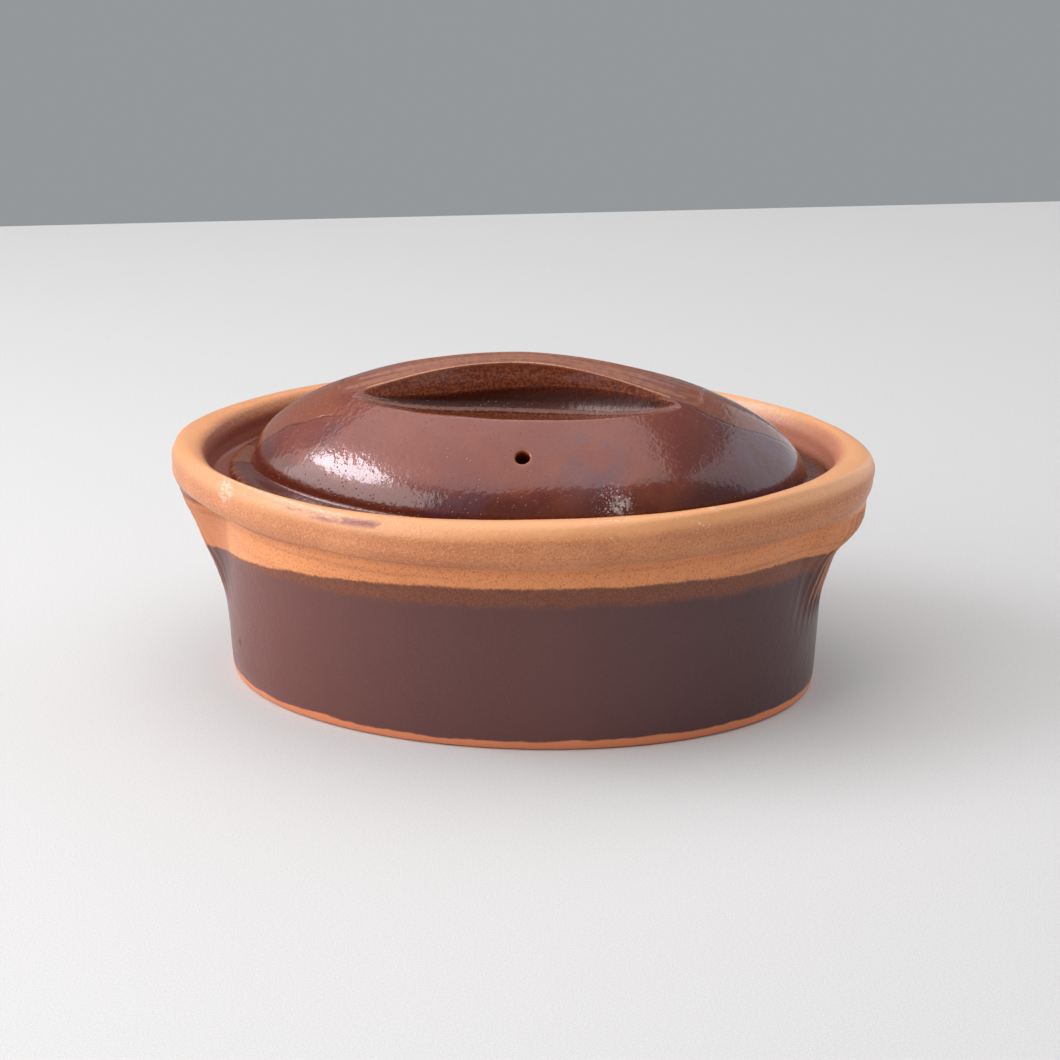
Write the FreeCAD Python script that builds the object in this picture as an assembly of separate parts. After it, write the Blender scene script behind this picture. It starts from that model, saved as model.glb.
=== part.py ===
"""Covered casserole dish in stoneware: an oval dish with a lug under each end of its rim, and a loose lid.

Millimetres, +Z up, X along the dish. The origin is the centre of the foot, on the surface it stands on.
Each piece is a net of closed rings, foot to rim or underside to crest, made into smooth B-spline faces.
"""
import FreeCAD
import Part
import math
import os

# Dish: plan sizes are half-lengths and half-widths
FOOT_LENGTH = 105.2
FOOT_WIDTH = 69.0
WALL_TOP_LENGTH = 108.4
WALL_TOP_WIDTH = 77.0
WALL_TOP = 72.0
FLOOR_TOP = 8.0
FOOT_RING = 12.0
FOOT_RECESS = 1.5

# Rim: outside, an ellipse whose ends are drawn out into the lugs; inside, a plain ellipse, a little turned
RIM_LENGTH = 125.0
RIM_WIDTH = 85.5
RIM_END = 15.2
RIM_END_SPREAD = 49.0
RIM_TOP = 87.0
OPENING_LENGTH = 112.3
OPENING_WIDTH = 76.9
OPENING_TURN = 2.5
LEDGE_TOP = 72.8

# Lugs: fluted brackets under the ends of the rim
LUG_BOTTOM = 30.0
LUG_HALF_WIDTH = 27.0
LUG_FOOT_HALF_WIDTH = 19.0
LUG_INSET = 2.2
LUG_SIDE_POWER = 8
FLUTE_PITCH = 6.0
FLUTE_TAPER = 0.3

# Lid
LID_GAP = 0.3
FLANGE_LENGTH = 106.5
FLANGE_WIDTH = 67.2
FLANGE_TOP = 76.8
DOME_LENGTH = 98.4
DOME_WIDTH = 61.0
DOME_POWER = 1.864
DOME_HEIGHT = 41.5
HOLLOW_LENGTH = 94.0
HOLLOW_WIDTH = 55.5
HOLLOW_HEIGHT = 39.4
ARCH_ALONG = (1.815, 0.604)
ARCH_ACROSS = (1.395, 0.678)
ARCH_EDGE_POWER = 8
VENT_DIAMETER = 5.4
VENT_PLACE = (6.0, -47.6)
VENT_TILT = 38.0
VENT_REACH = 12.0

# Ridge handle and the finger pocket on each side of it
RIDGE_LENGTH = 64.0
RIDGE_MIDDLE = -1.3
RIDGE_WAIST = 6.4
RIDGE_FLARE = 5.6
RIDGE_POWER = 6
RIDGE_END_DRAW = 1.5
GROOVE_DEPTH = 0.5
POCKET_LENGTH = 54.8
POCKET_REACH = 28.4
POCKET_MARGIN = 3.6
POCKET_SKEW = 0.5
POCKET_BLUNTNESS = 0.3
BULGE_LENGTH = 60.0
BULGE_WIDTH = 38.0
BULGE_DEPTH = 20.0

# The lid sits loose in its seat, a little turned and off centre
LID_TURN = -0.42
LID_SHIFT = (2.3, 1.8)

# Points on each ring, and how far the dish's are gathered towards its lugs
RING_POINTS = 160
GATHER = 0.55


def angles(gather):
    """Angles once round, gathered towards the two ends by the given share."""
    steps = [2.0 * math.pi * i / RING_POINTS for i in range(RING_POINTS)]
    return [step - 0.5 * gather * math.sin(2.0 * step) for step in steps]


def bump(distance, reach):
    """Bell curve: 1 at the middle, falling off over the given reach."""
    return math.exp(-((distance / reach) ** 2))


def ellipse_ring(length, width, height, gather):
    """Closed ring on an ellipse of the given half-length and half-width."""
    return [FreeCAD.Vector(length * math.cos(a), width * math.sin(a), height) for a in angles(gather)]


def rim_ring(inset, draw, tuck, height):
    """Closed ring inside the rim's outline, its ends drawn out by a share and its right end tucked in."""
    drawn = draw * RIM_END
    ring = []
    for a in angles(GATHER):
        y = (RIM_WIDTH - inset) * math.sin(a)
        x = (RIM_LENGTH - inset - drawn + drawn * bump(y, RIM_END_SPREAD)) * math.cos(a)
        x -= tuck * bump(y, LUG_HALF_WIDTH) * max(0.0, math.cos(a))
        ring.append(FreeCAD.Vector(x, y, height))
    return ring


def opening_ring(end_inset, side_inset, turn, height):
    """Closed ring inside the dish's opening, turned by the given share of the opening's turn."""
    slant = math.radians(turn * OPENING_TURN)
    ring = []
    for point in ellipse_ring(OPENING_LENGTH - end_inset, OPENING_WIDTH - side_inset, height, GATHER):
        x = point.x * math.cos(slant) - point.y * math.sin(slant)
        y = point.x * math.sin(slant) + point.y * math.cos(slant)
        ring.append(FreeCAD.Vector(x, y, height))
    return ring


def oval_plan(length, width):
    """Plan points of the lid's ovals, which are a little fuller at the ends than at the shoulders."""
    power = 2.0 / DOME_POWER
    points = []
    for a in angles(0.0):
        x = math.copysign(abs(math.cos(a)) ** power, math.cos(a))
        y = math.copysign(abs(math.sin(a)) ** power, math.sin(a))
        points.append((length * x, width * y))
    return points


def across_share(x, y, length, width):
    """How far from the lid's long axis a point lies: 0 on it, 1 on the edge of an oval."""
    along = min(1.0, abs(x) / length)
    half_width = width * (1.0 - along ** DOME_POWER) ** (1.0 / DOME_POWER)
    return min(1.0, abs(y) / half_width) if half_width > 0.0 else 1.0


def rim_reach(y, inset):
    """How far along X the rim's outline goes at a given y."""
    share = max(0.0, 1.0 - (y / (RIM_WIDTH - inset)) ** 2)
    return math.sqrt(share) * (RIM_LENGTH - RIM_END - inset + RIM_END * bump(y, RIM_END_SPREAD))


def wall_axes(height, outset):
    """Half-length and half-width of the drafted wall at a height."""
    share = height / WALL_TOP
    length = FOOT_LENGTH + (WALL_TOP_LENGTH - FOOT_LENGTH) * share
    width = FOOT_WIDTH + (WALL_TOP_WIDTH - FOOT_WIDTH) * share
    return length + outset, width + outset


def wall_ring(height, outset=0.0, left_lug=0.0, right_lug=0.0, flute=0.0):
    """Ring of the outer wall, pushed out at its ends by a share of the way to the rim."""
    length, width = wall_axes(height, outset)
    rise = min(1.0, max(0.0, (height - LUG_BOTTOM) / (WALL_TOP - LUG_BOTTOM)))
    half_width = LUG_FOOT_HALF_WIDTH + (LUG_HALF_WIDTH - LUG_FOOT_HALF_WIDTH) * rise
    pitch = FLUTE_PITCH * (1.0 - FLUTE_TAPER * (1.0 - rise))
    ring = []
    for a in angles(GATHER):
        y = width * math.sin(a)
        side = math.copysign(1.0, math.cos(a))
        window = 1.0 / (1.0 + (y / half_width) ** LUG_SIDE_POWER)
        overhang = max(0.0, rim_reach(y, LUG_INSET) - length * abs(math.cos(a)))
        share = right_lug if side > 0.0 else left_lug
        groove = flute * (0.5 - 0.5 * math.cos(2.0 * math.pi * y / pitch))
        x = length * math.cos(a) + side * window * (share * overhang - groove)
        ring.append(FreeCAD.Vector(x, y, height))
    return ring


def outer_wall():
    """Rings from the foot's edge to the underside of the rim, with both lugs."""
    rings = [
        wall_ring(0.0, outset=-1.8),
        wall_ring(0.3, outset=-0.6),
        wall_ring(2.2),
        wall_ring(8.0),
        wall_ring(18.0),
        wall_ring(26.0),
    ]
    # height, then each lug's share of the way out to the rim, then the flutes' depth
    lug_sweep = [
        (32.0, 0.05, 0.00, 0.6),
        (38.0, 0.17, 0.05, 1.0),
        (44.0, 0.31, 0.15, 1.2),
        (50.0, 0.49, 0.25, 1.3),
        (55.5, 0.61, 0.40, 1.3),
        (60.0, 0.74, 0.74, 1.3),
        (63.0, 0.85, 0.87, 1.2),
        (65.5, 0.92, 0.92, 0.9),
        (68.0, 0.98, 0.94, 0.5),
    ]
    for height, left, right, flute in lug_sweep:
        rings.append(wall_ring(height, 0.0, left, right, flute))
    rings.append(wall_ring(WALL_TOP - 1.6, -0.4, 1.0, 0.93))
    return rings


def rim():
    """Rings round the rim: outer band, crown, inner slope and the ledge that carries the lid."""
    # inset from the outline, share of the drawn-out ends, tuck of the right end, then height below the crown
    band = [
        (1.7, 1.0, 1.4, 16.0), (0.2, 1.0, 1.9, 14.0), (0.0, 1.0, 0.9, 9.6),
        (0.2, 1.0, 0.2, 5.2), (1.8, 1.0, 0.0, 1.6), (5.0, 0.6, 0.0, 0.0),
    ]
    # insets from the opening at its ends and sides, share of its turn, then height below the crown
    slope = [(0.0, 0.0, 1.0, 0.5), (1.4, 2.4, 0.8, 2.9), (2.2, 4.2, 0.4, 7.0), (2.5, 5.2, 0.1, 11.0)]
    # insets from the opening at its ends and sides, then height above the ledge
    ledge = [
        (2.8, 5.9, 1.0), (4.2, 7.3, 0.2), (6.2, 9.4, 0.0), (8.4, 11.8, 0.0), (10.6, 14.4, 0.0),
        (11.6, 15.8, -1.0), (11.2, 15.4, -3.5),
    ]
    rings = [rim_ring(inset, draw, tuck, RIM_TOP - drop) for inset, draw, tuck, drop in band]
    for end_inset, side_inset, turn, drop in slope:
        rings.append(opening_ring(end_inset, side_inset, turn, RIM_TOP - drop))
    for end_inset, side_inset, rise in ledge:
        rings.append(opening_ring(end_inset, side_inset, 0.0, LEDGE_TOP + rise))
    return rings


def inner_wall():
    """Rings down the inside to the flat of the floor."""
    # height above the floor, then thickness of the clay beside it
    profile = [
        (52.0, 7.6), (42.0, 6.4), (24.0, 6.6), (12.0, 8.0), (5.0, 11.5), (1.2, 17.0), (0.0, 24.0), (0.0, 32.0),
    ]
    rings = []
    for rise, thickness in profile:
        length, width = wall_axes(FLOOR_TOP + rise, -thickness)
        rings.append(ellipse_ring(length, width, FLOOR_TOP + rise, GATHER))
    return rings


def dome_height(x, y):
    """Height of the lid's smooth outer surface, before its pockets are scooped out."""
    along = min(1.0, abs(x) / DOME_LENGTH)
    across = across_share(x, y, DOME_LENGTH, DOME_WIDTH)
    return FLANGE_TOP + DOME_HEIGHT * arch(along, *ARCH_ALONG) * arch(across, *ARCH_ACROSS)


def arch(share, power, slope):
    """Falls from 1 at the crest to 0 at the edge: a sloping part and a part that drops at the edge."""
    return slope * (1.0 - share ** power) + (1.0 - slope) * math.sqrt(1.0 - share ** ARCH_EDGE_POWER)


def hollow_height(x, y):
    """Height of the lid's inside, which bulges down under the pockets."""
    along = min(1.0, abs(x) / HOLLOW_LENGTH)
    across = across_share(x, y, HOLLOW_LENGTH, HOLLOW_WIDTH)
    vault = HOLLOW_HEIGHT * arch(along, *ARCH_ALONG) * arch(across, *ARCH_ACROSS)
    bulge = max(0.0, 1.0 - (x / BULGE_LENGTH) ** 2) * max(0.0, 1.0 - (y / BULGE_WIDTH) ** 2)
    return LEDGE_TOP + LID_GAP + vault - BULGE_DEPTH * bulge


def lid_hollow():
    """Rings of the lid's inside, from its crest line out to the flange."""
    # half-length, half-width
    sizes = [
        (64.0, 0.0), (65.0, 6.0), (66.5, 14.0), (69.0, 22.0), (73.0, 30.0), (78.0, 37.5), (84.0, 44.2),
        (89.0, 49.9), (92.4, 53.5), (93.8, 55.2),
    ]
    rings = []
    for length, width in sizes:
        plan = oval_plan(length, width)
        rings.append([FreeCAD.Vector(x, y, hollow_height(x, y)) for x, y in plan])
    return rings


def flange():
    """Rings of the flange: flat underside, rounded edge and top."""
    # inset from the flange's outline, then height above its underside
    profile = [
        (4.4, 0.0), (2.0, 0.0), (0.4, 0.5), (0.0, 1.9), (0.5, 3.3), (2.0, 4.1), (4.0, 4.2), (5.3, 4.0),
    ]
    underside = LEDGE_TOP + LID_GAP
    rings = []
    for outset in (0.8, 2.2, 4.0):
        plan = oval_plan(HOLLOW_LENGTH + outset, HOLLOW_WIDTH + outset)
        rings.append([FreeCAD.Vector(x, y, underside) for x, y in plan])
    for inset, rise in profile:
        rings.append(ellipse_ring(FLANGE_LENGTH - inset, FLANGE_WIDTH - inset, underside + rise, 0.0))
    return rings


def ridge_edge(a):
    """Plan of the ridge's top edge: narrowest in the middle, with blunt ends."""
    x = RIDGE_LENGTH * math.cos(a)
    half_width = RIDGE_WAIST + RIDGE_FLARE * (x / POCKET_LENGTH) ** 2
    y = half_width * (1.0 - abs(math.cos(a)) ** RIDGE_POWER) ** (1.0 / RIDGE_POWER)
    return RIDGE_MIDDLE + x, math.copysign(y, math.sin(a))


def pocket_opening(x):
    """Share of a pocket's full reach at a place along it: 1 in the middle, 0 at its corners."""
    return max(0.0, 1.0 - ((x - RIDGE_MIDDLE) / POCKET_LENGTH) ** 2)


def lip_edge(a):
    """Plan of the pockets' outer lip, which comes close to the ridge's edge at the corners and beyond."""
    x, y = ridge_edge(a)
    reach = POCKET_MARGIN + (POCKET_REACH - POCKET_MARGIN) * pocket_opening(x)
    side = math.sin(a) / max(abs(math.sin(a)), POCKET_BLUNTNESS)
    return x + POCKET_MARGIN * math.cos(a), y + reach * side


def dome():
    """Rings of the dome from the crease at the flange up to the pockets' lip."""
    rings = []
    crease = oval_plan(DOME_LENGTH, DOME_WIDTH)
    lip = [lip_edge(a) for a in angles(0.0)]
    for share in (0.0, 0.008, 0.03, 0.07, 0.13, 0.22, 0.34, 0.48, 0.63, 0.78, 0.90, 0.97):
        ring = []
        for (crease_x, crease_y), (lip_x, lip_y) in zip(crease, lip):
            x = crease_x * (1.0 - share) + lip_x * share
            y = crease_y * (1.0 - share) + lip_y * share
            ring.append(FreeCAD.Vector(x, y, dome_height(x, y)))
        rings.append(ring)
    return rings


def pockets():
    """Rings across both finger pockets: rolled lip, scoop, undercut, fold and the ridge's side."""
    # share of the way from the ridge to the lip, depth below the dome in the middle, lean to one end
    profile = [
        (1.000, 0.0, 0.0),
        (0.955, 0.3, 0.0),
        (0.890, 2.0, 0.0),
        (0.780, 5.5, 0.0),
        (0.600, 10.0, 0.0),
        (0.380, 14.5, 0.0),
        (0.150, 18.3, 0.0),
        (-0.020, 19.2, 0.0),
        (-0.085, 17.0, 0.0),
        (-0.100, 14.0, 0.2),
        (-0.075, 11.4, 0.4),
        (-0.025, 9.6, POCKET_SKEW),
        (-0.010, 7.6, POCKET_SKEW),
        (-0.018, 4.2, POCKET_SKEW),
        (-0.012, 1.2, POCKET_SKEW),
        (0.000, 0.1, 0.0),
    ]
    rings = []
    for number, (share, depth, lean) in enumerate(profile):
        rings.append(pocket_ring(share, 1.0 - number / len(profile), depth, lean))
    return rings


def pocket_ring(share, even_share, depth, lean):
    """One ring through both pockets; past their corners the rings run evenly spaced round the ridge."""
    ring = []
    for a in angles(0.0):
        edge_x, edge_y = ridge_edge(a)
        lip_x, lip_y = lip_edge(a)
        opening = pocket_opening(edge_x)
        place = even_share + (share - even_share) * math.sqrt(opening)
        x = edge_x + (lip_x - edge_x) * max(0.0, place)
        y = edge_y + (lip_y - edge_y) * place
        drop = depth * opening * (1.0 - lean * edge_x / POCKET_LENGTH)
        ring.append(FreeCAD.Vector(x, y, dome_height(x, y) - drop))
    return ring


def ridge():
    """Rings over the ridge's grooved top to its crest line."""
    rings = []
    for share, groove in ((0.88, 0.0), (0.70, 0.0), (0.47, 1.0), (0.23, 0.0), (0.0, 1.0)):
        ring = []
        for a in angles(0.0):
            x, edge_y = ridge_edge(a)
            x -= RIDGE_END_DRAW * (1.0 - share) * math.cos(a)
            y = edge_y * share
            fade = max(0.0, 1.0 - (x / RIDGE_LENGTH) ** 4)
            ring.append(FreeCAD.Vector(x, y, dome_height(x, y) - GROOVE_DEPTH * groove * fade))
        rings.append(ring)
    return rings


def net_surface(rings):
    """Smooth surface through a net of closed rings, closed round and open at both ends."""
    # a closed spline starts at its second point, so each ring starts one point early
    poles = [[ring[i - 1] for ring in rings] for i in range(RING_POINTS)]
    degree = 3
    round_knots = list(range(RING_POINTS + 1))
    along_knots = list(range(len(rings) - degree + 1))
    round_mults = [1] * len(round_knots)
    along_mults = [degree + 1] + [1] * (len(along_knots) - 2) + [degree + 1]
    surface = Part.BSplineSurface()
    surface.buildFromPolesMultsKnots(
        poles, round_mults, along_mults, round_knots, along_knots, True, False, degree, degree
    )
    return surface


def solid_of(faces):
    """Solid inside faces that meet edge to edge."""
    shell = Part.makeShell(faces)
    shell.sewShape()
    solid = Part.makeSolid(shell)
    if solid.Volume < 0.0:
        solid.reverse()
    return solid


def flat_cap(face, height):
    """Flat face that closes the end of a ringed face at a height."""
    for edge in face.Edges:
        flat = abs(edge.BoundBox.ZMin - height) < 0.01 and abs(edge.BoundBox.ZMax - height) < 0.01
        if flat and edge.isClosed():
            return Part.Face(Part.Wire([edge]))
    raise ValueError("no flat end at this height")


def casserole_dish():
    """Dish with its rim, lid ledge, lugs and foot ring."""
    skin = net_surface(outer_wall() + rim() + inner_wall()).toShape()
    body = solid_of([skin, flat_cap(skin, 0.0), flat_cap(skin, FLOOR_TOP)])
    normal = FreeCAD.Vector(0.0, 0.0, 1.0)
    outline = Part.Ellipse(FreeCAD.Vector(), FOOT_LENGTH - FOOT_RING, FOOT_WIDTH - FOOT_RING)
    recess = Part.Face(Part.Wire([outline.toShape()])).extrude(normal * FOOT_RECESS)
    return body.cut(recess)


def vent_hole():
    """Drill through the near side of the dome, square to its surface."""
    slope = math.radians(VENT_TILT)
    direction = FreeCAD.Vector(0.0, -math.sin(slope), math.cos(slope))
    middle = FreeCAD.Vector(VENT_PLACE[0], VENT_PLACE[1], dome_height(*VENT_PLACE))
    start = middle - direction * VENT_REACH
    return Part.makeCylinder(0.5 * VENT_DIAMETER, 2.0 * VENT_REACH, start, direction)


def casserole_lid():
    """Lid with its flange, ridge handle, finger pockets and vent, as it lies in the dish."""
    rings = lid_hollow() + flange() + dome() + pockets() + ridge()
    last = len(rings) - 3
    halves = []
    for start in (0, RING_POINTS // 2):
        half = net_surface(rings)
        half.segment(start, start + RING_POINTS // 2, 0, last)
        halves.append(half.toShape())
    lid = solid_of(halves).cut(vent_hole())
    lid.rotate(FreeCAD.Vector(), FreeCAD.Vector(0.0, 0.0, 1.0), LID_TURN)
    lid.translate(FreeCAD.Vector(LID_SHIFT[0], LID_SHIFT[1], 0.0))
    return lid


def main():
    os.makedirs("parts", exist_ok=True)
    for name, make in (("casserole_dish", casserole_dish), ("casserole_lid", casserole_lid)):
        shape = make()
        box = shape.BoundBox
        size = (round(box.XLength, 2), round(box.YLength, 2), round(box.ZMin, 2), round(box.ZMax, 2))
        print(name, shape.ShapeType, len(shape.Solids), shape.isValid(), round(shape.Volume / 1000.0, 1), size)
        shape.exportStep("parts/" + name + ".step")


main()
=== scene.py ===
"""Looks of the covered casserole dish: fine meshes of its two pieces, their glazes, the light and the camera.

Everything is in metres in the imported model's frame, and shapes are worked out in millimetres. Each piece is
a net of closed rings, as in the part's own design, with the combed grooves, flutes and throwing marks that
only show close up.
"""
import math

import bmesh
import bpy
import numpy as np
from mathutils import Matrix, Vector


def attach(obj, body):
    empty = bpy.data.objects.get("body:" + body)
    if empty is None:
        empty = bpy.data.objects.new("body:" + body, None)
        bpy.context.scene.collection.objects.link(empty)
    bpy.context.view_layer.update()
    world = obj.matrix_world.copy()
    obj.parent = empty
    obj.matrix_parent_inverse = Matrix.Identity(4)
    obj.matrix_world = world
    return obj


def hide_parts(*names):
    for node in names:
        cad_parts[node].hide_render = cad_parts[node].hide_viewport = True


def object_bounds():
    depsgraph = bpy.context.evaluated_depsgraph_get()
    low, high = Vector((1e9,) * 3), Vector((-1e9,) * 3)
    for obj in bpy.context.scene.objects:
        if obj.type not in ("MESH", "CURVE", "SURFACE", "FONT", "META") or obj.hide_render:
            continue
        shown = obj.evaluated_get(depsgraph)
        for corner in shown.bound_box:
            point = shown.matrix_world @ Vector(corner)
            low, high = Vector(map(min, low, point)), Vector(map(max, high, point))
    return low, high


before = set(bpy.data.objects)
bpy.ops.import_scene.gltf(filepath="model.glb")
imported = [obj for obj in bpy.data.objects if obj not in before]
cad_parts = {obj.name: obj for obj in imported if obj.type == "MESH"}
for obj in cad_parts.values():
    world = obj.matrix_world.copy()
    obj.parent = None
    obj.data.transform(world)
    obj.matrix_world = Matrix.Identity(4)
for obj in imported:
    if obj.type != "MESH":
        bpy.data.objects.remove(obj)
cad_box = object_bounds()

MM = 0.001

# Dish, in millimetres; plans are a half-length and a half-width, and powers set how square a curve is
FOOT = (105.2, 69.0)
WALL_TOP_PLAN = (108.4, 77.0)
WALL_TOP = 72.0
FLOOR_TOP = 8.0
FOOT_RING = 12.0
FOOT_RECESS = 1.5
RIM = (125.0, 85.5)
RIM_END = 15.2
RIM_END_SPREAD = 49.0
RIM_TOP = 87.0
OPENING = (112.3, 76.9)
OPENING_TURN = math.radians(2.5)
LEDGE_TOP = 72.8
LUG_BOTTOM = 30.0
LUG_HALF_WIDTH = 27.0
LUG_FOOT_HALF_WIDTH = 19.0
LUG_INSET = 2.2
LUG_POWER = 12
FLUTE_PITCH = 4.2
FLUTE_BEND = 7.0
FLUTE_DEPTH = 1.35
FLUTE_SHARPNESS = 2.2
FLUTED_HALF_WIDTH = (24.5, 23.0)
FLUTED_POWER = 10
# The flutes come in and run out between these heights, and come in between these distances from the middle
FLUTES_START = (26.0, 44.0)
FLUTES_STOP = (67.0, 71.0)
FLUTED_ENDS = (84.0, 100.0)
RIM_TURN = math.radians(-0.69)
RIM_TILT = 0.005
RIM_WARP = 0.00014
# Where the rim's turn, tilt and warp start, and over what height they grow
RIM_EASE = (20.0, 60.0)
# Depth of the throwing marks, how fast they follow each other up the wall and how much they waver
THROWING_MARKS = (0.12, 1.1, 0.8)
DISH_POINTS = 480
DISH_GATHER = 0.55
# Unevenness: how deep, over what size, and the seed
DISH_UNEVEN = ((0.22, 46.0, 5), (0.07, 14.0, 7))

# Lid, in millimetres
LID_GAP = 0.3
FLANGE = (106.5, 67.2)
FLANGE_TOP = 76.8
DOME = (98.4, 61.0)
DOME_POWER = 1.864
DOME_HEIGHT = 41.5
HOLLOW = (94.0, 55.5)
HOLLOW_HEIGHT = 39.4
ARCH_ALONG = (1.815, 0.604)
ARCH_ACROSS = (1.395, 0.678)
ARCH_FALL = 8
RIDGE_LENGTH = 64.0
RIDGE_MIDDLE = -1.3
RIDGE_WAIST = 6.4
RIDGE_FLARE = 5.6
RIDGE_POWER = 6
RIDGE_SHARES = (0.88, 0.70, 0.47, 0.23, 0.0)
RIDGE_END_ROUND = 1.5
RIDGE_GROOVES = 2
GROOVE_DEPTH = 0.80
GROOVE_REACH = 70.0
POCKET_LENGTH = 54.8
POCKET_REACH = 28.4
POCKET_MARGIN = 3.6
POCKET_SKEW = 0.5
BULGE = (60.0, 38.0, 20.0)
# Keel left of the pockets: half-width, widening, start and length
KEEL_LEFT = (9.5, 15.0, -97.0, 43.0)
# Keel right of the pockets: half-width, middle and reach
KEEL_RIGHT = (12.5, 67.0, 30.0)
VENT_RADIUS = 2.7
VENT_PLACE = (6.0, -47.6)
VENT_TILT = math.radians(38.0)
# Half the side of the square of cells left out for an end of the vent
HOLE_CELLS = 3
LID_TURN = math.radians(-0.42)
LID_SHIFT = (2.3, 1.8)
LID_POINTS = 480
LID_UNEVEN = ((0.25, 40.0, 11), (0.08, 12.0, 13))


# ---------------------------------------------------------------- nets of rings

def angles(count, gather):
    """Angles once round, gathered towards the two ends by the given share."""
    steps = np.arange(count) * (2.0 * np.pi / count)
    return steps - 0.5 * gather * np.sin(2.0 * steps)


def ring(x, y, height):
    """One ring as an array of points."""
    return np.stack([x, y, np.broadcast_to(height, x.shape)], axis=-1)


def spline_weights(count, places):
    """Clamped cubic B-spline weights of that many rings, at places from 0 to the number of spans."""
    degree = 3
    spans = count - degree
    knots = np.concatenate([np.zeros(degree), np.arange(spans + 1.0), np.full(degree, float(spans))])
    places = np.minimum(places, spans - 1e-9)[:, None]
    weights = ((places >= knots[:-1]) & (places < knots[1:])).astype(float)
    for order in range(1, degree + 1):
        up = knots[order:-1] - knots[:-order - 1]
        down = knots[order + 1:] - knots[1:-order]
        rise = np.where(up > 0.0, (places - knots[:-order - 1]) / np.where(up > 0.0, up, 1.0), 0.0)
        fall = np.where(down > 0.0, (knots[order + 1:] - places) / np.where(down > 0.0, down, 1.0), 0.0)
        weights = rise * weights[:, :-1] + fall * weights[:, 1:]
    return weights


def rows_along(rings, steps):
    """Weights of smooth rows through a net of rings; steps gives the rows each span gets, zone by zone."""
    places = []
    start = 0
    for spans, each in steps:
        places.append(np.arange(spans * each) / each + start)
        start += spans
    places = np.append(np.concatenate(places), float(start))
    assert start == len(rings) - 3, (start, len(rings))
    return spline_weights(len(rings), places)


def soft_noise(points, size, seed):
    """Smooth, seeded unevenness, mostly within -1.5 to 1.5, with features of the given size."""
    source = np.random.default_rng(seed)
    total = np.zeros(points.shape[:-1])
    waves = 14
    for _ in range(waves):
        direction = source.normal(size=3)
        direction /= np.linalg.norm(direction)
        pace = source.uniform(0.6, 1.7) * np.pi / size
        total += np.cos(points @ direction * pace + source.uniform(0.0, 2.0 * np.pi))
    return total / math.sqrt(waves)


def surface_normals(points):
    """Outward normals of a net of rows that runs over the outside."""
    along = np.roll(points, -1, axis=1) - np.roll(points, 1, axis=1)
    across = np.gradient(points, axis=0)
    normals = np.cross(along, across)
    length = np.linalg.norm(normals, axis=-1, keepdims=True)
    return normals / np.maximum(length, 1e-9)


def ramp(value, low, high):
    """0 below low, 1 above high, smooth between."""
    share = np.clip((value - low) / (high - low), 0.0, 1.0)
    return share * share * (3.0 - 2.0 * share)


def piece_from(name, points, skipped, extra_points, extra_faces, attributes):
    """Mesh piece from rows of rings between two crease lines, with some cells left out and faces added."""
    rows, count, _ = points.shape
    index = np.arange(rows * count).reshape(rows, count)
    # the first and the last row lie on a line, so the two sides of each share their points
    mirrored = np.minimum(np.arange(count), (count - np.arange(count)) % count)
    index[0] = index[0][mirrored]
    index[-1] = index[-1][mirrored]
    following = np.roll(index, -1, axis=1)
    cells = np.stack([index[:-1], following[:-1], following[1:], index[1:]], axis=-1)
    faces = cells[~skipped].reshape(-1, 4)
    cleaned = []
    for face in faces.tolist():
        corners = list(dict.fromkeys(face))
        if len(corners) > 2:
            cleaned.append(corners)
    cleaned += extra_faces
    vertices = np.concatenate([points.reshape(-1, 3), extra_points])
    used = np.zeros(len(vertices), bool)
    used[[corner for face in cleaned for corner in face]] = True
    order = np.cumsum(used) - 1
    mesh = bpy.data.meshes.new(name)
    mesh.from_pydata((vertices[used] * MM).tolist(), [], [[int(order[c]) for c in face] for face in cleaned])
    for key, values in attributes.items():
        padded = np.concatenate([values.reshape(-1), np.full(len(extra_points), values.min())])
        layer = mesh.attributes.new(key, "FLOAT", "POINT")
        layer.data.foreach_set("value", padded[used].astype(np.float32))
    mesh.polygons.foreach_set("use_smooth", np.ones(len(mesh.polygons), bool))
    mesh.update()
    piece = bpy.data.objects.new(name, mesh)
    bpy.context.scene.collection.objects.link(piece)
    return piece


# ---------------------------------------------------------------- the dish

def rim_x(y, length, draw=1.0):
    """How far out an end of the rim goes at a given y, for an oval of that half-length; draw is a share."""
    drawn = draw * RIM_END
    return length - drawn + drawn * np.exp(-(y / RIM_END_SPREAD) ** 2)


def rim_ring(around, inset, draw, tuck, height):
    """Ring inside the rim's outline, its ends drawn out by a share and its right end tucked in."""
    y = (RIM[1] - inset) * np.sin(around)
    tucked = tuck * np.exp(-(y / LUG_HALF_WIDTH) ** 2) * np.maximum(0.0, np.cos(around))
    return ring(rim_x(y, RIM[0] - inset, draw) * np.cos(around) - tucked, y, height)


def opening_ring(around, end_inset, side_inset, turn, height):
    """Ring inside the dish's opening, turned by the given share of the opening's turn."""
    x = (OPENING[0] - end_inset) * np.cos(around)
    y = (OPENING[1] - side_inset) * np.sin(around)
    cosine, sine = math.cos(turn * OPENING_TURN), math.sin(turn * OPENING_TURN)
    return ring(x * cosine - y * sine, x * sine + y * cosine, height)


def wall_axes(height, outset):
    """Half-length and half-width of the drafted wall at a height."""
    share = height / WALL_TOP
    length = FOOT[0] + (WALL_TOP_PLAN[0] - FOOT[0]) * share
    width = FOOT[1] + (WALL_TOP_PLAN[1] - FOOT[1]) * share
    return length + outset, width + outset


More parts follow.
